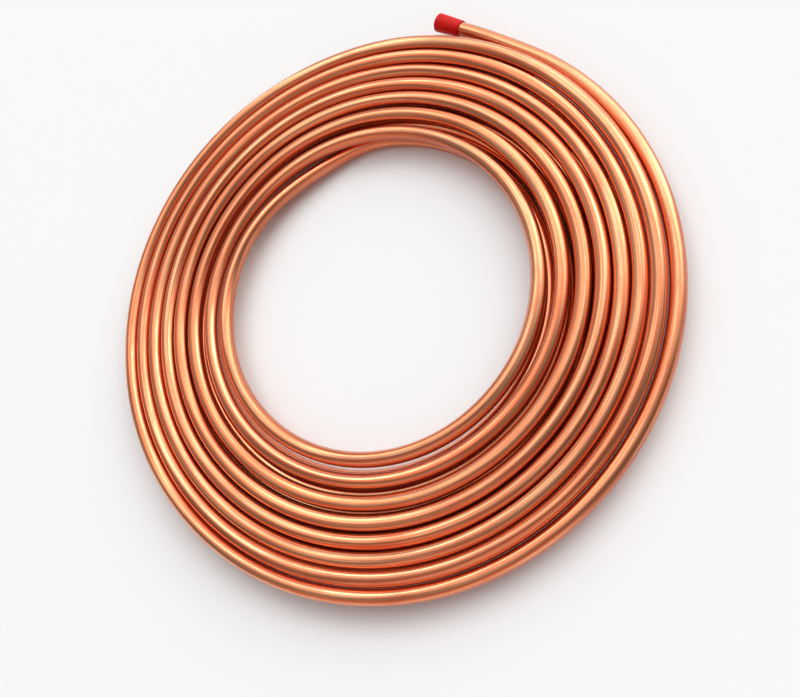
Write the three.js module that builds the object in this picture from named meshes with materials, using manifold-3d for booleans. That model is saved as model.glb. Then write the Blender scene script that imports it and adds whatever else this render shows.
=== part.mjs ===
// A coil of soft copper tube, lying flat: two pancake layers of one tube, one on the other.
// The tube starts at a capped end on the rim and winds inwards, clockwise seen from above, as the
// upper layer. At the eye it drops and winds outwards again as the lower layer, to its other capped end.
// The wound body is one turned solid with its bore, and its turns show as ridges on both ends.
// Where the tube leaves the body, at the rim and at the eye, it is lofted at its real section.
// Millimetres, +Z up. It is modelled about its winding axis and lies on z = 0. Angles are in turns,
// clockwise seen from above, from +Y, which the capped end of the upper layer is close to.

import * as THREE from 'three';
import Module from 'manifold-3d';

const wasm = await Module();
wasm.setup();

// ---- Driving dimensions ----------------------------------------------------------------------

const tubeDiameter = 12.7;
const turnClearance = 0.3; // between neighbouring turns at the rim

const rimRadius = 246.9; // tube centre of the upper layer at turn 0
const upperSlack = 10; // how much nearer the axis its innermost turn is than tight turns would put it
const slackTurn = 7.15; // where the turns have reached it
const slackCurve = 5; // how late they do

const upperTurns = 7; // whole turns in the turned body of the layer
const lowerTurns = 6;
const eyeTurn = 7; // the lower layer's turn number where the tube reaches it
const eyeDropTurns = 0.2; // in which the tube drops from the upper layer to the lower one
const eyeDropCurve = 4; // how late it moves outwards while it drops

const rimLevel = 15; // height of the rim turn's centre, beside the second turn
const climbStartTurn = 0.3; // from where it climbs to the level of the layer
const climbEndTurn = 0.55;
const climbRoom = 1; // left between it and the second turn where it climbs
const rimEndTurn = 0.045; // where the upper layer's tube enters its cap
const rimSpringTurn = 0.085; // from where its end has sprung out from the winding
const rimSpringOut = 7.1;
const springCurve = 1.6; // how sharply it leaves the winding

const lowerEndTurn = 0.08; // where the lower layer's tube enters its cap, past its last full turn
const lowerSpringOut = 2.4; // so that its cap clears the turn beside it
const lowerCapShift = 2.35; // how far outside the groove between two turns of the upper layer it lies
const capRoom = 0.5; // between it and those two turns, which ride over it
const rideTurns = 0.16; // how far from it they have come down again
const rideLevelTurns = 0.04; // and how far they stay up

const capLength = 25;
const capWall = 0.6; // at the mouth
const capTaper = 0.95; // how much further out the closed end is
const capEndThickness = 2.4;
const capEdgeRadius = 1;
const capClearance = 0.3; // round the tube, past the tube's end and under a cap

const stepsPerTurn = 50;
const shortestStep = 0.3; // from a loft's own section to the next whole step
const tubeSides = 12;
const capSides = 24;
const weldInset = 0.05; // how much a loose tube narrows where it runs into the body
const weldDepth = 0.3; // how far one layer's body reaches into the other's

// ---- What follows from them ------------------------------------------------------------------

const tubeRadius = tubeDiameter / 2;
const tubeReach = tubeRadius / Math.cos(Math.PI / tubeSides); // to the corners of its section
const turnPitch = tubeDiameter + turnClearance;
const upperSeamTurn = 1 - eyeDropTurns; // where the tube joins the body of the upper layer
const lowerLevel = tubeRadius; // height of a tube centre that lies on the floor
const upperLevel = tubeRadius + tubeDiameter;
const capBore = tubeReach + capClearance;
const capMouthRadius = capBore + capWall;
const capRadius = capMouthRadius + capTaper; // at the closed end
const capLevel = capRadius + capClearance; // height of a cap's axis, just off the floor
const tubeInCap = capLength - capEndThickness - capClearance;

const smoothStep = (t) => THREE.MathUtils.smoothstep(t, 0, 1);

function upperSpiral(turn) {
  const opened = (THREE.MathUtils.clamp(turn, 0, slackTurn) / slackTurn) ** slackCurve;
  return rimRadius - turnPitch * turn - upperSlack * opened;
}

// The lower layer's cap lies on the floor under the groove between the second and the third turn
// of the upper layer, and lifts them both over it.
const capTurn = lowerEndTurn + capLength / (2 * Math.PI * rimRadius);
const lowerCapRadius = upperSpiral(1.5 + capTurn) + lowerCapShift; // from the axis to its closed end
const rideTurn = 1 + (lowerEndTurn + capTurn) / 2;
const rideHeights = [1, 2].map((pass) => {
  const sideways = lowerCapRadius - upperSpiral(pass + capTurn);
  return capLevel + Math.sqrt((capRadius + tubeReach + capRoom) ** 2 - sideways ** 2) - upperLevel;
});

function ride(turn) {
  return rideHeights.reduce((sum, height, pass) => {
    const apart = Math.abs(turn - rideTurn - pass);
    return sum + height * smoothStep((rideTurns - apart) / (rideTurns - rideLevelTurns));
  }, 0);
}

// The lower layer's turns are counted back to its end, so they are largest at the eye. Its tube
// enters the cap at a tangent.
const lowerEndRadius = Math.sqrt(lowerCapRadius ** 2 - capLength ** 2);
const lowerRimRadius = lowerEndRadius - lowerSpringOut + turnPitch * (1 - lowerEndTurn);

function lowerRadius(turn) {
  return lowerRimRadius - turnPitch * turn + lowerSpringOut * smoothStep((1 - turn) / lowerEndTurn);
}

// The upper layer's turns are counted from its capped end, which has sprung out. The first one
// has slipped down beside the second one and climbs back to the layer's level.
const climb = (turn) => smoothStep((turn - climbStartTurn) / (climbEndTurn - climbStartTurn));

function upperRadius(turn) {
  const room = climbRoom * smoothStep(1 - Math.abs(turn - (climbStartTurn + climbEndTurn) / 2) * 3);
  const spring = Math.max(0, (rimSpringTurn - turn) / (rimSpringTurn - rimEndTurn)) ** springCurve;
  return upperSpiral(turn) + room + rimSpringOut * spring;
}

function upperHeight(turn) {
  return THREE.MathUtils.lerp(rimLevel, upperLevel, climb(turn)) + ride(turn);
}

// ---- Sections in the plane through the axis: x is the radius, y the height --------------------

function place(point, step) {
  const angle = ((step % stepsPerTurn) / stepsPerTurn) * 2 * Math.PI;
  return new THREE.Vector3(point.x * Math.sin(angle), point.x * Math.cos(angle), point.y);
}

const corner = (side) => ((side + 0.5) / tubeSides) * 2 * Math.PI;

// Corners of the tube's section from one side number to another, counter-clockwise from the outside.
// Where a loft runs on into another, its section is drawn in by an inset to stay inside that one.
function tubeCorners(centre, from, to, inset) {
  const reach = (tubeRadius - inset) / Math.cos(Math.PI / tubeSides);
  const corners = [];
  for (let side = from; side < to; side++) {
    const angle = corner(side);
    corners.push(new THREE.Vector2(centre.x + reach * Math.cos(angle), centre.y + reach * Math.sin(angle)));
  }
  return corners;
}

const quarter = tubeSides / 4;

// The ridged top of a layer: its turns from the outermost to the innermost, with a groove between.
function ridges(centres, inset) {
  const last = centres.length - 1;
  const points = [];
  centres.forEach((centre, index) => {
    const from = index === 0 ? -quarter - 1 : 1;
    const to = index === last ? 3 * quarter + 1 : 2 * quarter - 1;
    points.push(...tubeCorners(centre, from, to, inset));
    if (index < last) {
      const groove = centre.clone().lerp(centres[index + 1], 0.5);
      groove.y -= inset;
      points.push(groove);
    }
  });
  return points;
}

function section(step, outline) {
  return { outline, points: outline.map((point) => place(point, step)) };
}

// The turns that a layer's body holds, from the outermost one at this step inwards.
function turnsFrom(step, count) {
  return Array.from({ length: count }, (_, ring) => (step + ring * stepsPerTurn) / stepsPerTurn);
}

// The outermost turn hangs clear beside the lower layer, the others lie on it.
function upperSection(step, inset) {
  const turns = turnsFrom(step, upperTurns);
  const centres = turns.map((turn) => new THREE.Vector2(upperRadius(turn), upperHeight(turn)));
  const underside = tubeDiameter - weldDepth + inset;
  return section(step, [
    ...tubeCorners(centres[0], -quarter - 2, -quarter - 1, inset),
    ...ridges(centres, inset),
    new THREE.Vector2(centres[upperTurns - 2].x, underside),
    new THREE.Vector2(centres[1].x, underside),
    ...tubeCorners(centres[1], -quarter, -quarter + 2, inset),
  ]);
}

// The lower layer is the same form upside down, so its outline is mirrored and turned round.
function lowerSection(step, inset) {
  const turns = turnsFrom(2 * stepsPerTurn - step, lowerTurns);
  const centres = turns.map((turn) => new THREE.Vector2(lowerRadius(turn), -lowerLevel));
  const outline = ridges(centres, inset).map((point) => new THREE.Vector2(point.x, -point.y));
  return section(step, outline.reverse());
}

function tubeSection(step, radius, height, inset = 0) {
  const centre = new THREE.Vector2(radius, height);
  return section(step, tubeCorners(centre, 0, tubeSides, inset));
}

// ---- Lofts round the axis --------------------------------------------------------------------

// One closed solid through sections of like outline, in the order they are met clockwise.
function loft(sections) {
  const vertices = sections.flatMap(({ points }) => points.flatMap((point) => point.toArray()));
  const count = sections[0].outline.length;
  const faces = [];
  for (let row = 0; row < sections.length - 1; row++) {
    for (let i = 0; i < count; i++) {
      const a = row * count + i;
      const b = row * count + ((i + 1) % count);
      faces.push(a, b, b + count, a, b + count, a + count);
    }
  }
  const lastRow = (sections.length - 1) * count;
  const firstEnd = THREE.ShapeUtils.triangulateShape(sections[0].outline, []);
  const lastEnd = THREE.ShapeUtils.triangulateShape(sections.at(-1).outline, []);
  firstEnd.forEach(([a, b, c]) => faces.push(a, c, b));
  lastEnd.forEach((corners) => faces.push(...corners.map((index) => lastRow + index)));
  return new wasm.Manifold(new wasm.Mesh({
    numProp: 3,
    vertProperties: new Float32Array(vertices),
    triVerts: new Uint32Array(faces),
  }));
}

// Whole steps from one to another, both included.
function stepsFrom(first, last) {
  const start = Math.ceil(first);
  return Array.from({ length: Math.floor(last) - start + 1 }, (_, index) => start + index);
}

// A layer's body in two half turns, each run on a step into the other.
function turnedBody(bodySection, start) {
  const halfBody = (from, to) => {
    const run = stepsFrom(from, to).map((step) => bodySection(step, 0));
    return loft([...run, bodySection(to + 1, weldInset)]);
  };
  const middle = start + Math.round(stepsPerTurn / 2);
  return halfBody(start, middle).add(halfBody(middle, start + stepsPerTurn));
}

// ---- The tube --------------------------------------------------------------------------------

const upperSeam = Math.round(upperSeamTurn * stepsPerTurn);
const rimEndStep = rimEndTurn * stepsPerTurn;
const lowerEndStep = lowerEndTurn * stepsPerTurn;

function upperTube(step, inset) {
  const turn = step / stepsPerTurn;
  return tubeSection(step, upperRadius(turn), upperHeight(turn), inset);
}

function lowerTube(step, inset) {
  const turn = step / stepsPerTurn;
  const height = THREE.MathUtils.lerp(lowerLevel, capLevel, smoothStep(turn / lowerEndTurn));
  return tubeSection(step, lowerRadius(1 - turn), height, inset);
}

function middleOf({ points }) {
  const sum = points.reduce((total, point) => total.add(point), new THREE.Vector3());
  return sum.divideScalar(points.length);
}

// A free end runs straight on inside its cap: where it enters, the way it goes, 1 for clockwise,
// and the side of it that faces out.
function freeEnd(tubeAt, step, clockwise) {
  const start = middleOf(tubeAt(step, 0));
  const way = start.clone().sub(middleOf(tubeAt(step - clockwise * shortestStep, 0))).setZ(0).normalize();
  const outside = new THREE.Vector3(-way.y, way.x, 0).multiplyScalar(clockwise);
  return { start, way, outside };
}

const rimEnd = freeEnd(upperTube, rimEndStep, -1);
const lowerEnd = freeEnd(lowerTube, lowerEndStep, 1);

// The free end's section cut square, a length along it.
function squareSection({ start, way, outside }, length) {
  const outline = tubeCorners(new THREE.Vector2(), 0, tubeSides, 0);
  const points = outline.map(({ x, y }) => {
    const point = start.clone().addScaledVector(way, length).addScaledVector(outside, x);
    return point.setZ(point.z + y);
  });
  return { outline, points };
}

function rimTail() {
  const run = stepsFrom(rimEndStep + shortestStep, upperSeam);
  return loft([
    squareSection(rimEnd, tubeInCap),
    squareSection(rimEnd, 0),
    ...run.map((step) => upperTube(step, 0)),
    upperTube(upperSeam + 1, weldInset),
  ]);
}

// The drop at the eye, from the innermost turn above to the innermost turn below.
function eyeDrop() {
  const from = upperSeam + upperTurns * stepsPerTurn;
  const to = (eyeTurn + 1) * stepsPerTurn;
  const run = stepsFrom(from - 1, to + 1);
  return loft(run.map((step) => {
    const turn = step / stepsPerTurn;
    const share = smoothStep((step - from) / (to - from));
    const below = lowerRadius(2 * eyeTurn + 1 - turn);
    const radius = THREE.MathUtils.lerp(upperRadius(turn), below, share ** eyeDropCurve);
    const height = THREE.MathUtils.lerp(upperLevel, lowerLevel, share);
    return tubeSection(step, radius, height, step < from || step > to ? weldInset : 0);
  }));
}

function lowerTail() {
  const run = stepsFrom(0, lowerEndStep - shortestStep);
  return loft([
    lowerTube(-1, weldInset),
    ...run.map((step) => lowerTube(step, 0)),
    squareSection(lowerEnd, 0),
    squareSection(lowerEnd, tubeInCap),
  ]);
}

function toGeometry(solid) {
  const { vertProperties, triVerts } = solid.getMesh();
  const geometry = new THREE.BufferGeometry();
  geometry.setAttribute('position', new THREE.BufferAttribute(vertProperties, 3));
  geometry.setIndex(new THREE.BufferAttribute(triVerts, 1));
  geometry.computeVertexNormals();
  return geometry;
}

function copperTube() {
  const solid = turnedBody(upperSection, upperSeam)
    .add(turnedBody(lowerSection, 0))
    .add(rimTail())
    .add(eyeDrop())
    .add(lowerTail());
  const material = new THREE.MeshStandardMaterial({ color: 0xc8703f, roughness: 0.3, metalness: 1 });
  const mesh = new THREE.Mesh(toGeometry(solid), material);
  mesh.name = 'copper_tube';
  return mesh;
}

// ---- The end caps ----------------------------------------------------------------------------

// A push-on cap: a cup that tapers a little to its mouth, turned about its own axis, mouth at y = 0.
function capGeometry() {
  const edge = capEdgeRadius;
  const mouthEdge = edge / 2;
  const profile = [
    [0, capLength - capEndThickness],
    [capBore, capLength - capEndThickness],
    [capBore, 0],
    [capMouthRadius - mouthEdge, 0],
    [capMouthRadius, mouthEdge],
    [capRadius, capLength - edge],
    [capRadius - edge * (1 - Math.SQRT1_2), capLength - edge * (1 - Math.SQRT1_2)],
    [capRadius - edge, capLength],
    [0, capLength],
  ].map(([x, y]) => new THREE.Vector2(x, y));
  return new THREE.LatheGeometry(profile, capSides);
}

function endCap(name, { start, way }) {
  const material = new THREE.MeshStandardMaterial({ color: 0xc4161a, roughness: 0.55, metalness: 0 });
  const cap = new THREE.Mesh(capGeometry(), material);
  cap.name = name;
  cap.position.copy(start);
  cap.quaternion.setFromUnitVectors(new THREE.Vector3(0, 1, 0), way);
  return cap;
}

// ---- The coil, with its origin under the middle of its outline --------------------------------

const coil = new THREE.Group();
coil.add(copperTube());
coil.add(endCap('end_cap_rim', rimEnd));
coil.add(endCap('end_cap_lower', lowerEnd));

const middle = new THREE.Box3().setFromObject(coil, true).getCenter(new THREE.Vector3());
coil.position.set(-middle.x, -middle.y, 0);

export default coil;
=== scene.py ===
# %% [markdown]
# # A coil of soft copper tube
#
# Soft copper tube is sold wound up: one tube, 12.7 mm thick and about 17 m long, lying in two
# flat spirals, one on the other, with a red plastic cap pushed on each end to keep the bore clean.
# This lesson builds it in Blender around a plain construction model that already has the right
# size, and gives it the bright skin of drawn copper.
#
# The construction model is loaded first. It is the frame: every piece made here goes where that
# model says, in metres, and none of its solids is moved.

from math import cos, radians, sin, tau

import bmesh
import bpy
from mathutils import Matrix, Vector


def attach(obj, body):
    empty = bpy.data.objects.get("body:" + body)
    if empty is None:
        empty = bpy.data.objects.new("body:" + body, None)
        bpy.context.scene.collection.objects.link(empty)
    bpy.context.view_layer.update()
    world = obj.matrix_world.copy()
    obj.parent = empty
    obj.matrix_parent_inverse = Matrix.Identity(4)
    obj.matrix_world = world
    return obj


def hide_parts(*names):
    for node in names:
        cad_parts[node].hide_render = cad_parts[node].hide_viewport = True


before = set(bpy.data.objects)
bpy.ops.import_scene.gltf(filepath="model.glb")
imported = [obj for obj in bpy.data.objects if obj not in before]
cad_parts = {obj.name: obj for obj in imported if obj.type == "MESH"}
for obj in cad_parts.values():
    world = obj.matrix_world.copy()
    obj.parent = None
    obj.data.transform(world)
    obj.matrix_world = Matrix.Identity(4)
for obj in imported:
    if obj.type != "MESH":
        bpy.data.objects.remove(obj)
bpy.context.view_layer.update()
print("solids in the construction model:", len(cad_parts))

# %% [markdown]
# ## The sizes that everything follows
#
# A coil is a rule more than a shape. A handful of sizes fixes it: how thick the tube is, how far
# out the winding starts, how much it closes in with each turn, and where its ends lie. The place
# along the tube is counted in turns from the capped end of the upper layer, clockwise seen from
# above, so turn 1 is once round. The tube drops to the lower layer just before turn 8, and the
# lower layer's own turns are counted back from turn 15, so that both layers close in alike.

# %% Name the sizes
MM = 0.001

# The tube and its winding.
TUBE = 12.7 * MM
TUBE_RADIUS = TUBE / 2
PITCH = 13.0 * MM
RIM_RADIUS = 246.9 * MM
LOWER_RIM_RADIUS = 236.68 * MM
SLACK = 10.0 * MM
SLACK_TURN = 7.15
SLACK_CURVE = 5.0
EYE_TURN = 8
LOWER_TURNS = 6
EYE_DROP_TURNS = 0.2
EYE_DROP_CURVE = 4.0

# The end on the rim of the upper layer, and where the slipped first turn climbs back.
RIM_END_TURN = 0.045
RIM_SPRING_TURN = 0.085
RIM_SPRING_OUT = 7.1 * MM
SPRING_CURVE = 1.6
RIM_LEVEL = 15.0 * MM
CLIMB_TURNS = (0.3, 0.55)

# The end of the lower layer, and how two turns of the upper one ride over its cap.
LOWER_END_TURN = 0.08
LOWER_SPRING_OUT = 2.4 * MM
RIDE_TURN = 1.088
RIDE_TURNS = 0.16
RIDE_LEVEL_TURNS = 0.04
RIDE_HEIGHTS = (4.6 * MM, 2.4 * MM)

# The caps.
CAP_LENGTH = 25.0 * MM
CAP_RADIUS = 8.42 * MM
CAP_MOUTH_RADIUS = 7.3 * MM
CAP_BORE = 6.5 * MM
CAP_END_THICKNESS = 2.4 * MM
CAP_GAP = 0.3 * MM

# What follows from them.
LAST_TURN = EYE_TURN + LOWER_TURNS
MIDDLE_TURN = LAST_TURN / 2
LOWER_LEVEL = TUBE_RADIUS
UPPER_LEVEL = TUBE_RADIUS + TUBE
CAP_LEVEL = CAP_RADIUS + CAP_GAP
TAIL = CAP_LENGTH - CAP_END_THICKNESS - CAP_GAP
print("turns of tube:", LAST_TURN + LOWER_END_TURN - RIM_END_TURN)

# %% [markdown]
# The winding axis isn't quite in the middle of the outline, because one end of the tube has
# sprung out and the winding closes in as it goes round. The construction model has its origin in
# the middle of its outline, so its axis is a little to the front left of that.

# %% Set the winding axis
AXIS = Vector((-3.45 * MM, -7.16 * MM, 0))
print("winding axis at", [round(value, 5) for value in AXIS])

# %% [markdown]
# ## Camera
#
# The camera looks down on the coil from its front right, close enough for the far turns to look
# smaller than the near ones, and it is rolled a little. So it is set by three directions rather
# than by angles: where it stands, and which way is right and up in its picture.

# %% Set up the camera
CAMERA_STAND = Vector((274.7, -215.3, 635.9)) * MM
CAMERA_BACK = Vector((0.3880, -0.3072, 0.8689)).normalized()
CAMERA_RIGHT = Vector((0.9199, 0.0710, -0.3857))
FOCAL_LENGTH = 38.25
PICTURE_SHIFT = (0.0409, -0.0761)

camera_up = CAMERA_BACK.cross(CAMERA_RIGHT).normalized()
camera_right = camera_up.cross(CAMERA_BACK)
camera_data = bpy.data.cameras.new("camera")
camera_data.lens = FOCAL_LENGTH
camera_data.shift_x, camera_data.shift_y = PICTURE_SHIFT
camera = bpy.data.objects.new("camera", camera_data)
bpy.context.scene.collection.objects.link(camera)
axes = Matrix((camera_right, camera_up, CAMERA_BACK)).transposed()
camera.matrix_world = Matrix.Translation(AXIS + CAMERA_STAND) @ axes.to_4x4()
bpy.context.scene.camera = camera
print("camera distance to the coil:", round(CAMERA_STAND.length, 3))

# %% [markdown]
# ## Node helpers
#
# Node trees are built in the script, so they can be read like any other code. `plug` sets an
# input of a node, with a link if it is given a socket and a plain value if not.

# %% Helpers for building node trees
def plug(tree, socket, value):
    """Feeds a socket from another socket, or sets it to a value."""
    if isinstance(value, bpy.types.NodeSocket):
        tree.links.new(value, socket)
    else:
        socket.default_value = value


def add_node(tree, kind, inputs=None, **settings):
    """Adds a node, with its settings and its inputs by name or number."""
    node = tree.nodes.new(kind)
    for name, value in settings.items():
        setattr(node, name, value)
    for key, value in (inputs or {}).items():
        plug(tree, node.inputs[key], value)
    return node


def calc(tree, operation, *values):
    """One Math node."""
    return add_node(tree, "ShaderNodeMath", dict(enumerate(values)), operation=operation).outputs[0]


def smooth_between(tree, value, start, end, low=0.0, high=1.0):
    """Eases from low to high as a value goes from start to end."""
    inputs = {"Value": value, "From Min": start, "From Max": end, "To Min": low, "To Max": high}
    eased = add_node(tree, "ShaderNodeMapRange", inputs, interpolation_type="SMOOTHSTEP")
    return eased.outputs["Result"]


def new_group(name, kind, inputs, outputs):
    """A node group with named sockets, and its input and output nodes."""
    tree = bpy.data.node_groups.new(name, kind)
    for label, (socket_type, default) in inputs.items():
        socket = tree.interface.new_socket(label, in_out="INPUT", socket_type=socket_type)
        if default is not None:
            socket.default_value = default
    for label, socket_type in outputs.items():
        tree.interface.new_socket(label, in_out="OUTPUT", socket_type=socket_type)
    return tree, tree.nodes.new("NodeGroupInput").outputs, tree.nodes.new("NodeGroupOutput").inputs


# %% [markdown]
# ## The winding rule
#
# This group is the coil in a few lines of arithmetic: it turns a place along the tube, counted
# in turns, into a point in space. Each layer closes in by one pitch a turn, and the upper one a
# little more towards the eye, where its turns lie looser. The first turn has slipped half down
# beside the second one, and the second and third ride over the hidden cap of the other end. The
# two layers are joined by a smooth drop at the eye. It is a group of its own because the tube
# asks it twice: once for a point, and once for the direction in which a straight end leaves.

# %% Build the winding rule
def wound_in(tree, outermost, turn):
    """The radius after some tight turns of a layer that starts at its outermost radius."""
    return calc(tree, "SUBTRACT", outermost, calc(tree, "MULTIPLY", turn, PITCH))


def upper_radius(tree, turn):
    """The upper layer: looser towards the eye, and its end has sprung out."""
    loose = add_node(tree, "ShaderNodeMapRange", {"Value": turn, "From Max": SLACK_TURN}).outputs["Result"]
    closed_in = calc(tree, "MULTIPLY", calc(tree, "POWER", loose, SLACK_CURVE), SLACK)
    reach = {"Value": turn, "From Min": RIM_SPRING_TURN, "From Max": RIM_END_TURN}
    free = add_node(tree, "ShaderNodeMapRange", reach).outputs["Result"]
    sprung = calc(tree, "MULTIPLY", calc(tree, "POWER", free, SPRING_CURVE), RIM_SPRING_OUT)
    shifted = calc(tree, "SUBTRACT", sprung, closed_in)
    return calc(tree, "ADD", wound_in(tree, RIM_RADIUS, turn), shifted)


def past_last_turn(tree, counted_back, height):
    """Eases from 0 to a height between the lower layer's last full turn and its end."""
    return smooth_between(tree, counted_back, 1.0, 1.0 - LOWER_END_TURN, 0.0, height)


def lower_radius(tree, counted_back):
    sprung = past_last_turn(tree, counted_back, LOWER_SPRING_OUT)
    return calc(tree, "ADD", wound_in(tree, LOWER_RIM_RADIUS, counted_back), sprung)


def turns_apart(tree, turn, middle):
    return calc(tree, "ABSOLUTE", calc(tree, "SUBTRACT", turn, middle))


def upper_height(tree, turn):
    height = smooth_between(tree, turn, *CLIMB_TURNS, RIM_LEVEL, UPPER_LEVEL)
    for number, ride_height in enumerate(RIDE_HEIGHTS):
        from_cap = turns_apart(tree, turn, RIDE_TURN + number)
        ride = smooth_between(tree, from_cap, RIDE_TURNS, RIDE_LEVEL_TURNS, 0.0, ride_height)
        height = calc(tree, "ADD", height, ride)
    return height


def lower_height(tree, counted_back):
    return calc(tree, "ADD", past_last_turn(tree, counted_back, CAP_LEVEL - LOWER_LEVEL), LOWER_LEVEL)


def mixed(tree, share, first, second):
    return add_node(tree, "ShaderNodeMix", {"Factor": share, "A": first, "B": second}).outputs["Result"]


def build_winding_rule():
    tree, given, result = new_group(
        "winding rule",
        "GeometryNodeTree",
        {"Turn": ("NodeSocketFloat", 0.0)},
        {"Point": "NodeSocketVector"},
    )
    turn = given["Turn"]
    counted_back = calc(tree, "SUBTRACT", float(LAST_TURN + 1), turn)
    dropped = smooth_between(tree, turn, EYE_TURN - EYE_DROP_TURNS, float(EYE_TURN))
    moved_out = calc(tree, "POWER", dropped, EYE_DROP_CURVE)
    radius = mixed(tree, moved_out, upper_radius(tree, turn), lower_radius(tree, counted_back))
    height = mixed(tree, dropped, upper_height(tree, turn), lower_height(tree, counted_back))
    angle = calc(tree, "MULTIPLY", turn, tau)
    x = calc(tree, "MULTIPLY", radius, calc(tree, "SINE", angle))
    y = calc(tree, "MULTIPLY", radius, calc(tree, "COSINE", angle))
    place = add_node(tree, "ShaderNodeCombineXYZ", {"X": x, "Y": y, "Z": height}).outputs[0]
    moved = add_node(tree, "ShaderNodeVectorMath", {0: place, 1: AXIS}, operation="ADD")
    plug(tree, result["Point"], moved.outputs[0])
    return tree


winding_rule = build_winding_rule()
print("nodes in the winding rule:", len(winding_rule.nodes))

# %% [markdown]
# ## The tube
#
# The tube could be a curve drawn by hand, but its fourteen turns would never lie as evenly as the
# rule lays them. So Geometry Nodes make a straight row of points, send each one to its place by
# the rule, and sweep a ring along them. The ends run straight on inside their caps.
#
# The tube also remembers what it was before it was wound: `straight` stores for each point where
# it was on the straight tube, across in X and Y and along in Z. Drawing leaves its marks along
# that straight tube, so the copper's pattern is made in those coordinates and follows the bends.

# %% Build the tube's node tree
RINGS_PER_TURN = 150
TUBE_SIDES = 28
TAIL_TURNS = TAIL / (tau * RIM_RADIUS)
NUDGE = 0.0009


def build_tube_tree():
    sizes = {
        "Geometry": ("NodeSocketGeometry", None),
        "Tube Radius": ("NodeSocketFloat", TUBE_RADIUS),
        "First Turn": ("NodeSocketFloat", RIM_END_TURN),
        "Last Turn": ("NodeSocketFloat", LAST_TURN + LOWER_END_TURN),
        "Tail Length": ("NodeSocketFloat", TAIL),
        "Rings": ("NodeSocketInt", int(RINGS_PER_TURN * LAST_TURN)),
        "Sides": ("NodeSocketInt", TUBE_SIDES),
        "Material": ("NodeSocketMaterial", None),
    }
    wound = {"Geometry": "NodeSocketGeometry"}
    tree, given, result = new_group("wind the tube", "GeometryNodeTree", sizes, wound)

    # Each point's place in turns, from a bit before the first turn to a bit past the last.
    row = add_node(tree, "GeometryNodeMeshLine", {"Count": given["Rings"]}).outputs["Mesh"]
    line = add_node(tree, "GeometryNodeMeshToCurve", {"Mesh": row}).outputs["Curve"]
    share = add_node(tree, "GeometryNodeSplineParameter").outputs["Factor"]
    start = calc(tree, "SUBTRACT", given["First Turn"], TAIL_TURNS)
    end = calc(tree, "ADD", given["Last Turn"], TAIL_TURNS)
    spread = {"Value": share, "To Min": start, "To Max": end}
    wanted = add_node(tree, "ShaderNodeMapRange", spread).outputs["Result"]
    limits = {"Value": wanted, "Min": given["First Turn"], "Max": given["Last Turn"]}
    turn = add_node(tree, "ShaderNodeClamp", limits).outputs["Result"]

    # Past either end of the winding the tube runs straight on, the way it was going. The way is
    # taken from a point that is a nudge nearer the middle of the tube.
    def by_rule(value):
        return add_node(tree, "GeometryNodeGroup", {"Turn": value}, node_tree=winding_rule).outputs["Point"]

    here, before = by_rule(turn), by_rule(mixed(tree, NUDGE, turn, MIDDLE_TURN))
    way = add_node(tree, "ShaderNodeVectorMath", {0: here, 1: before}, operation="SUBTRACT").outputs[0]
    level = {0: way, 1: (1, 1, 0)}
    level_way = add_node(tree, "ShaderNodeVectorMath", level, operation="MULTIPLY").outputs[0]
    unit = add_node(tree, "ShaderNodeVectorMath", {0: level_way}, operation="NORMALIZE").outputs[0]
    beyond = calc(tree, "DIVIDE", turns_apart(tree, wanted, turn), TAIL_TURNS)
    reach = calc(tree, "MULTIPLY", beyond, given["Tail Length"])
    tail = add_node(tree, "ShaderNodeVectorMath", {0: unit, "Scale": reach}, operation="SCALE").outputs[0]
    point = add_node(tree, "ShaderNodeVectorMath", {0: here, 1: tail}, operation="ADD").outputs[0]
    path = add_node(tree, "GeometryNodeSetPosition", {"Geometry": line, "Position": point}).outputs[0]
    path = add_node(tree, "GeometryNodeSetCurveNormal", {"Curve": path}, mode="Z_UP").outputs[0]

    # What the tube remembers of its straight shape.
    length = add_node(tree, "GeometryNodeSplineParameter").outputs["Length"]
    along = {"Geometry": path, "Name": "along", "Value": length}
    path = add_node(tree, "GeometryNodeStoreNamedAttribute", along).outputs[0]
    circle = {"Resolution": given["Sides"], "Radius": given["Tube Radius"]}
    ring = add_node(tree, "GeometryNodeCurvePrimitiveCircle", circle).outputs["Curve"]
    position = add_node(tree, "GeometryNodeInputPosition").outputs[0]
    across = {"Geometry": ring, "Name": "across", "Value": position}
    ring = add_node(tree, "GeometryNodeStoreNamedAttribute", across, data_type="FLOAT_VECTOR").outputs[0]

    sweep = {"Curve": path, "Profile Curve": ring, "Fill Caps": True}
    tube = add_node(tree, "GeometryNodeCurveToMesh", sweep).outputs["Mesh"]
    recalled = "GeometryNodeInputNamedAttribute"
    kept_across = add_node(tree, recalled, {"Name": "across"}, data_type="FLOAT_VECTOR")
    kept_along = add_node(tree, recalled, {"Name": "along"})
    parts = add_node(tree, "ShaderNodeSeparateXYZ", {0: kept_across.outputs["Attribute"]}).outputs
    together = {"X": parts["X"], "Y": parts["Y"], "Z": kept_along.outputs["Attribute"]}
    straight = add_node(tree, "ShaderNodeCombineXYZ", together).outputs[0]
    memory = {"Geometry": tube, "Name": "straight", "Value": straight}
    tube = add_node(tree, "GeometryNodeStoreNamedAttribute", memory, data_type="FLOAT_VECTOR").outputs[0]
    tube = add_node(tree, "GeometryNodeSetShadeSmooth", {"Geometry": tube}).outputs[0]
    tube = add_node(tree, "GeometryNodeRealizeInstances", {"Geometry": tube}).outputs[0]
    finish = {"Geometry": tube, "Material": given["Material"]}
    tube = add_node(tree, "GeometryNodeSetMaterial", finish).outputs[0]
    plug(tree, result["Geometry"], tube)
    return tree


tube_tree = build_tube_tree()
print("nodes in the tube's tree:", len(tube_tree.nodes))
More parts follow.
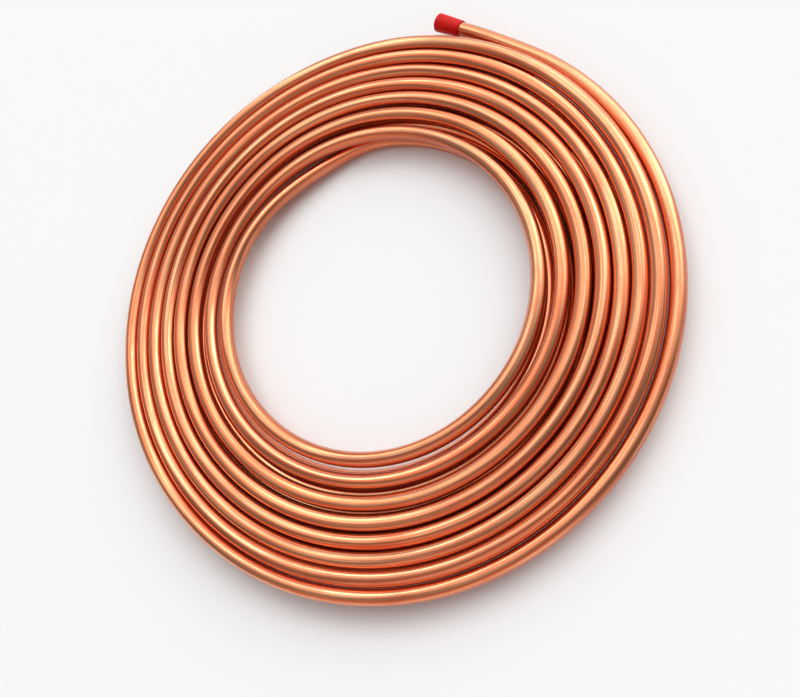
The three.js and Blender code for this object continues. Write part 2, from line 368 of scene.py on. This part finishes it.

# %% [markdown]
# ## Copper
#
# Bright drawn copper is a metal with almost no colour of its own but the tint it gives to what
# it mirrors. The tint deepens wherever the light has bounced between two turns, so the gaps go
# red and brown by themselves. What has to be made is its skin: the die leaves fine lines along
# the tube, some of them paler, and the air has started to tan it in long mottles. The flanks,
# where one turn rubs on the next, are duller, and their colour is darkened there as painted
# shade between the turns. Soft tube isn't quite round once it is wound, so very shallow waves,
# each about a hand long, let the bright lines wander a little from turn to turn.

# %% Build the drawn lines
LINE_WIDTH = 0.55 * MM
LINE_LENGTH = 160 * MM
BROADER = 0.4
PALE_LINES = (0.4, 0.63)


def build_drawn_lines():
    """Lines left along the tube by the die, as a height and a mask, in straight-tube coordinates."""
    sockets = {
        "Vector": ("NodeSocketVector", None),
        "Line Width": ("NodeSocketFloat", LINE_WIDTH),
        "Line Length": ("NodeSocketFloat", LINE_LENGTH),
    }
    patterns = {"Height": "NodeSocketFloat", "Mask": "NodeSocketFloat"}
    tree, given, result = new_group("drawn lines", "ShaderNodeTree", sockets, patterns)
    across = calc(tree, "DIVIDE", 1.0, given["Line Width"])
    along = calc(tree, "DIVIDE", 1.0, given["Line Length"])
    stretch = add_node(tree, "ShaderNodeCombineXYZ", {"X": across, "Y": across, "Z": along}).outputs[0]
    scaled = {0: given["Vector"], 1: stretch}
    place = add_node(tree, "ShaderNodeVectorMath", scaled, operation="MULTIPLY").outputs[0]
    fine_lines = {"Vector": place, "Scale": 1.0, "Detail": 4.0, "Roughness": 0.6}
    fine = add_node(tree, "ShaderNodeTexNoise", fine_lines).outputs["Fac"]
    broad_lines = {"Vector": place, "Scale": BROADER, "Detail": 2.0}
    broad = add_node(tree, "ShaderNodeTexNoise", broad_lines).outputs["Fac"]
    plug(tree, result["Height"], fine)
    plug(tree, result["Mask"], smooth_between(tree, broad, *PALE_LINES))
    return tree


drawn_lines = build_drawn_lines()
print("nodes in the drawn lines:", len(drawn_lines.nodes))


# %% Helpers for finishes
def surface(name, **constants):
    """A material, its node tree, and its Principled BSDF with plain values set."""
    material = bpy.data.materials.new(name)
    material.use_nodes = True
    shader = material.node_tree.nodes["Principled BSDF"]
    for label, value in constants.items():
        shader.inputs[label.replace("_", " ")].default_value = value
    return material, material.node_tree, shader


def blend_colours(tree, factor, first, second):
    """A Mix node for colours, whose two colours are its inputs 6 and 7."""
    colours = {"Factor": factor, 6: first, 7: second}
    return add_node(tree, "ShaderNodeMix", colours, data_type="RGBA").outputs[2]


# %% Make the copper
BRIGHT_COPPER = (0.81, 0.2, 0.072, 1)
PALE_COPPER = (0.9, 0.44, 0.22, 1)
TANNED_COPPER = (0.74, 0.172, 0.064, 1)
# Painted shade: the darker colour given to the flanks between the turns.
FLANK_SHADE_COPPER = (0.56, 0.12, 0.048, 1)
MOTTLES_PER_METRE = (140, 140, 16)
MOTTLES = (0.42, 0.68)
MOST_TANNED = 0.85
# Where across the tube the flanks take painted shade in their colour and extra roughness, and how much.
FLANK_SHADE_AND_RUB = (0.65, 1.0)
MOST_SHADE_AND_RUB = 0.75
POLISH = 0.14
ROUGHER_LINES = 0.06
ROUGHER_TAN = 0.12
ROUGHER_FLANKS = 0.3
LINE_DEPTH = 0.02 * MM
WAVES_PER_METRE = (70, 70, 6)
WAVE_DEPTH = 3.6 * MM


def noise_along(tree, straight, per_metre, inputs):
    """Noise on the straight tube, stretched by its numbers of features a metre, along in Z."""
    scaled = {0: straight, 1: per_metre}
    place = add_node(tree, "ShaderNodeVectorMath", scaled, operation="MULTIPLY").outputs[0]
    noise = {"Vector": place, "Scale": 1.0, **inputs}
    return add_node(tree, "ShaderNodeTexNoise", noise).outputs["Fac"]


def skin_colour(tree, tan, shade_and_rub, pale):
    """Bright copper with pale drawn lines, under the tan, under the painted shade of the flanks."""
    clean = blend_colours(tree, pale, BRIGHT_COPPER, PALE_COPPER)
    tanned = blend_colours(tree, tan, clean, TANNED_COPPER)
    # The last blend paints shade onto the flanks that face the neighbouring turns.
    return blend_colours(tree, shade_and_rub, tanned, FLANK_SHADE_COPPER)


def skin_roughness(tree, tan, shade_and_rub, lines):
    tanned = calc(tree, "MULTIPLY_ADD", tan, ROUGHER_TAN, POLISH)
    lined = calc(tree, "MULTIPLY_ADD", lines, ROUGHER_LINES, tanned)
    return calc(tree, "MULTIPLY_ADD", shade_and_rub, ROUGHER_FLANKS, lined)


def skin_normal(tree, straight, line_height):
    """The shallow waves of a wound tube, with the drawn lines on them."""
    waviness = noise_along(tree, straight, WAVES_PER_METRE, {"Detail": 1.0})
    waves = {"Height": waviness, "Distance": WAVE_DEPTH}
    wavy = add_node(tree, "ShaderNodeBump", waves).outputs["Normal"]
    lines = {"Height": line_height, "Strength": 0.3, "Distance": LINE_DEPTH, "Normal": wavy}
    return add_node(tree, "ShaderNodeBump", lines).outputs["Normal"]


def make_copper():
    material, tree, shader = surface(
        "bright drawn copper", Metallic=1.0, Coat_Weight=0.8, Coat_Roughness=0.08, Coat_IOR=1.5
    )
    straight = add_node(tree, "ShaderNodeAttribute", attribute_name="straight").outputs["Vector"]
    lines = add_node(tree, "ShaderNodeGroup", {"Vector": straight}, node_tree=drawn_lines).outputs
    mottles = noise_along(tree, straight, MOTTLES_PER_METRE, {"Detail": 6.0, "Roughness": 0.7})
    tan = smooth_between(tree, mottles, *MOTTLES, 0.0, MOST_TANNED)
    # The flanks that face the next turns get painted shade in their colour, and a duller roughness.
    sideways = add_node(tree, "ShaderNodeSeparateXYZ", {0: straight}).outputs["X"]
    beside = calc(tree, "DIVIDE", calc(tree, "ABSOLUTE", sideways), TUBE_RADIUS)
    shade_and_rub = smooth_between(tree, beside, *FLANK_SHADE_AND_RUB, 0.0, MOST_SHADE_AND_RUB)
    plug(tree, shader.inputs["Base Color"], skin_colour(tree, tan, shade_and_rub, lines["Mask"]))
    plug(tree, shader.inputs["Roughness"], skin_roughness(tree, tan, shade_and_rub, lines["Mask"]))
    plug(tree, shader.inputs["Normal"], skin_normal(tree, straight, lines["Height"]))
    return material


copper = make_copper()
print("made", copper.name)

# %% [markdown]
# ## Wind the tube
#
# The tree goes on an empty mesh as a modifier. Its inputs are set by their identifiers, which
# stay the same when a name changes. Then the evaluated result becomes a plain mesh.

# %% Wind the tube
def grown(name, tree, **inputs):
    """A plain mesh object from a node tree."""
    seed = bpy.data.objects.new("seed", bpy.data.meshes.new("seed"))
    bpy.context.scene.collection.objects.link(seed)
    modifier = seed.modifiers.new("nodes", "NODES")
    modifier.node_group = tree
    for item in tree.interface.items_tree:
        label = item.name.replace(" ", "_").lower()
        if item.in_out == "INPUT" and label in inputs:
            modifier[item.identifier] = inputs[label]
    evaluated = seed.evaluated_get(bpy.context.evaluated_depsgraph_get())
    mesh = bpy.data.meshes.new_from_object(evaluated)
    mesh.name = name
    piece = bpy.data.objects.new(name, mesh)
    bpy.context.scene.collection.objects.link(piece)
    seed.modifiers.remove(modifier)
    bpy.data.objects.remove(seed)
    return piece


tube = grown("wound_tube", tube_tree, material=copper)
print("tube:", len(tube.data.polygons), "faces")

# %% [markdown]
# ## The end caps
#
# Each cap is a cup of soft red plastic, moulded with a slight taper so it pulls off its core,
# and a little wider at its closed end. A cup is a turned shape, so its outline is spun about
# the tube's own end, which fixes its place exactly.

# %% Find the two ends of the tube
def tube_end(first_ring):
    """The middle of the tube's end, and the direction in which it points."""
    count = len(tube.data.vertices)
    rings = (0, TUBE_SIDES) if first_ring else (count - TUBE_SIDES, count - 2 * TUBE_SIDES)
    middles = []
    for start in rings:
        corners = [tube.data.vertices[start + side].co for side in range(TUBE_SIDES)]
        middles.append(sum(corners, Vector()) / TUBE_SIDES)
    return middles[0], (middles[0] - middles[1]).normalized()


for first in (True, False):
    print("tube end:", [round(value, 4) for value in tube_end(first)[0]])

# %% Make the red plastic
BRIGHT_RED = (0.7, 0.008, 0.003, 1)
DEEP_RED = (0.57, 0.004, 0.0015, 1)
CLOUDS_PER_METRE = 220.0
GRAINS_PER_METRE = 2500.0
GRAIN_DEPTH = 0.05 * MM


def make_red_plastic():
    material, tree, shader = surface("red cap plastic", Roughness=0.5, Specular_IOR_Level=0.2)
    place = add_node(tree, "ShaderNodeTexCoord").outputs["Object"]
    cloudy = {"Vector": place, "Scale": CLOUDS_PER_METRE, "Detail": 3.0}
    clouds = add_node(tree, "ShaderNodeTexNoise", cloudy).outputs["Fac"]
    plug(tree, shader.inputs["Base Color"], blend_colours(tree, clouds, BRIGHT_RED, DEEP_RED))
    grainy = {"Vector": place, "Scale": GRAINS_PER_METRE, "Detail": 2.0}
    grain = add_node(tree, "ShaderNodeTexNoise", grainy).outputs["Fac"]
    bump = {"Height": grain, "Strength": 0.3, "Distance": GRAIN_DEPTH}
    plug(tree, shader.inputs["Normal"], add_node(tree, "ShaderNodeBump", bump).outputs["Normal"])
    return material


red_plastic = make_red_plastic()
print("made", red_plastic.name)

# %% Draw the cap's outline
EDGE = 1.0 * MM
EDGE_STEPS = 5
LIP = 0.35 * MM
DISH_DEPTH = 0.15 * MM
DISH_RADIUS = 0.55 * CAP_RADIUS
DISH_EDGE_RADIUS = 0.6 * CAP_RADIUS


def rounded(radius, height, edge, start, end):
    """Points round a corner's arc, as radius and height, between two angles in degrees."""
    steps = [radians(start + (end - start) * step / EDGE_STEPS) for step in range(EDGE_STEPS + 1)]
    return [(radius + edge * cos(angle), height + edge * sin(angle)) for angle in steps]


def cap_outline():
    """From the dished middle of the closed end, down the outside, round the mouth, up the bore."""
    inside = CAP_LENGTH - CAP_END_THICKNESS
    return [
        (0, CAP_LENGTH - DISH_DEPTH),
        (DISH_RADIUS, CAP_LENGTH - DISH_DEPTH),
        (DISH_EDGE_RADIUS, CAP_LENGTH),
        *rounded(CAP_RADIUS - EDGE, CAP_LENGTH - EDGE, EDGE, 90, 0),
        *rounded(CAP_MOUTH_RADIUS - LIP, LIP, LIP, 0, -90),
        *rounded(CAP_BORE + LIP, LIP, LIP, -90, -180),
        (CAP_BORE, inside),
        (0, inside),
    ]


print("points in the cap's outline:", len(cap_outline()))

# %% Turn the caps
CAP_SIDES = 64


def spun(outline):
    """An outline of radius and height turned about Z. A point on the axis stays one corner."""
    turned = bmesh.new()
    rows = []
    for radius, height in outline:
        sides = CAP_SIDES if radius else 1
        angles = [tau * side / sides for side in range(sides)]
        rows.append([turned.verts.new((radius * cos(a), radius * sin(a), height)) for a in angles])
    for upper, lower in zip(rows, rows[1:]):
        for side in range(CAP_SIDES):
            after = (side + 1) % CAP_SIDES
            corners = [upper[side % len(upper)], lower[side % len(lower)]]
            corners += [lower[after % len(lower)], upper[after % len(upper)]]
            turned.faces.new(list(dict.fromkeys(corners)))
    bmesh.ops.recalc_face_normals(turned, faces=turned.faces)
    return turned


def make_cap(name, end, way):
    """A cap pushed on an end of the tube, and turned the way that the end points."""
    turned = spun(cap_outline())
    mouth = end - way * TAIL
    turn = Vector((0, 0, 1)).rotation_difference(way).to_matrix().to_4x4()
    turned.transform(Matrix.Translation(mouth) @ turn)
    mesh = bpy.data.meshes.new(name)
    turned.to_mesh(mesh)
    mesh.shade_smooth()
    mesh.materials.append(red_plastic)
    cap = bpy.data.objects.new(name, mesh)
    bpy.context.scene.collection.objects.link(cap)
    return cap


rim_cap = make_cap("rim_cap", *tube_end(True))
lower_cap = make_cap("lower_cap", *tube_end(False))
print("caps:", len(rim_cap.data.polygons), "faces each")

# %% [markdown]
# ## Floor and light
#
# The floor is pale and plain. Metal shows what is around it, so the light matters as much as the
# finish. Drawn copper looks its best under wide and soft light, high at the back right: each
# turn then carries one bright line that fades away round its flanks, and the rest of the room
# is dimmer, so that the flanks have somewhere to fall off to. Such light is easiest to make as
# glows in the sky itself, because their edges can be as soft as they need to be.

# %% Lay the floor
FLOOR_REACH = 30.0
FLOOR_COLOUR = (0.927, 0.949, 0.953, 1)


def lay_floor():
    mesh = bpy.data.meshes.new("floor")
    corners = [(x * FLOOR_REACH, y * FLOOR_REACH, 0) for x, y in ((-1, -1), (1, -1), (1, 1), (-1, 1))]
    mesh.from_pydata(corners, [], [range(len(corners))])
    mesh.materials.append(surface("pale floor", Base_Color=FLOOR_COLOUR, Roughness=0.9)[0])
    laid = bpy.data.objects.new("floor", mesh)
    bpy.context.scene.collection.objects.link(laid)
    return laid


floor = lay_floor()
print("floor:", floor.dimensions.x, "metres across")

# %% [markdown]
# Each glow in the sky has a direction, the angle from it at which the glow starts, and a
# brightness that is added to the room's. It grows all the way to its middle, so nothing on the
# metal has an edge. The wide one fills the back of the room, the next two make the lines on the
# turns, and the three small ones give those lines their pale cores, one after the other round
# the coil. A faint one overhead helps the far turns. The last lies low in front and has the tint
# of other copper, because a coil is kept among its like, and without it the near flanks turn
# grey. It is too low to light the floor much, and the floor's white is a touch cool to make up
# for what it does.

# %% Shade the world
ROOM_BRIGHTNESS = 0.215
WIDE_GLOW = {"azimuth": 106, "slant": 46, "starts": 88, "brightness": 0.38}
LOW_GLOW = {"azimuth": 50, "slant": 64, "starts": 50, "brightness": 0.95}
HIGH_GLOW = {"azimuth": 91, "slant": 38, "starts": 46, "brightness": 0.85}
LOW_CORE = {"azimuth": 43, "slant": 57, "starts": 22, "brightness": 2.3}
MIDDLE_CORE = {"azimuth": 84, "slant": 42, "starts": 14, "brightness": 1.7}
HIGH_CORE = {"azimuth": 124, "slant": 45, "starts": 16, "brightness": 2.1}
TOP_GLOW = {"azimuth": 132, "slant": 16, "starts": 34, "brightness": 0.32}
FRONT_GLOW = {"azimuth": 270, "slant": 88, "starts": 66, "brightness": 0.6, "tint": (1, 0.5, 0.4)}


def pointing(azimuth, slant):
    """A direction, from its azimuth and its slant from straight up, in degrees."""
    a, s = radians(azimuth), radians(slant)
    return Vector((cos(a) * sin(s), sin(a) * sin(s), cos(s)))


def build_world(glows):
    made = bpy.data.worlds.new("studio")
    made.use_nodes = True
    sky = made.node_tree
    view = add_node(sky, "ShaderNodeTexCoord").outputs["Generated"]
    light = (ROOM_BRIGHTNESS, ROOM_BRIGHTNESS, ROOM_BRIGHTNESS)
    for glow in glows:
        towards = {0: view, 1: pointing(glow["azimuth"], glow["slant"])}
        nearness = add_node(sky, "ShaderNodeVectorMath", towards, operation="DOT_PRODUCT").outputs["Value"]
        edge = cos(radians(glow["starts"]))
        amount = smooth_between(sky, nearness, edge, 1.0, 0.0, glow["brightness"])
        tinted = {0: glow.get("tint", (1, 1, 1)), "Scale": amount}
        share = add_node(sky, "ShaderNodeVectorMath", tinted, operation="SCALE").outputs[0]
        light = add_node(sky, "ShaderNodeVectorMath", {0: light, 1: share}, operation="ADD").outputs[0]
    background = sky.nodes["Background"]
    plug(sky, background.inputs["Color"], light)
    return made


GLOWS = (WIDE_GLOW, LOW_GLOW, HIGH_GLOW, LOW_CORE, MIDDLE_CORE, HIGH_CORE, TOP_GLOW, FRONT_GLOW)
bpy.context.scene.world = build_world(GLOWS)
print("nodes in the sky:", len(bpy.context.scene.world.node_tree.nodes))

# %% [markdown]
# ## Put the pieces on the frame
#
# The wound tube stands for the construction model's turned solid, and the caps for its two
# plain cups.

# %% Place the pieces
for piece, node, slot in (
    (tube, "copper_tube", "copper"),
    (rim_cap, "end_cap_rim", "red_plastic"),
    (lower_cap, "end_cap_lower", "red_plastic"),
):
    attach(piece, "root")
    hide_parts(node)

bpy.context.scene.view_settings.view_transform = "Standard"
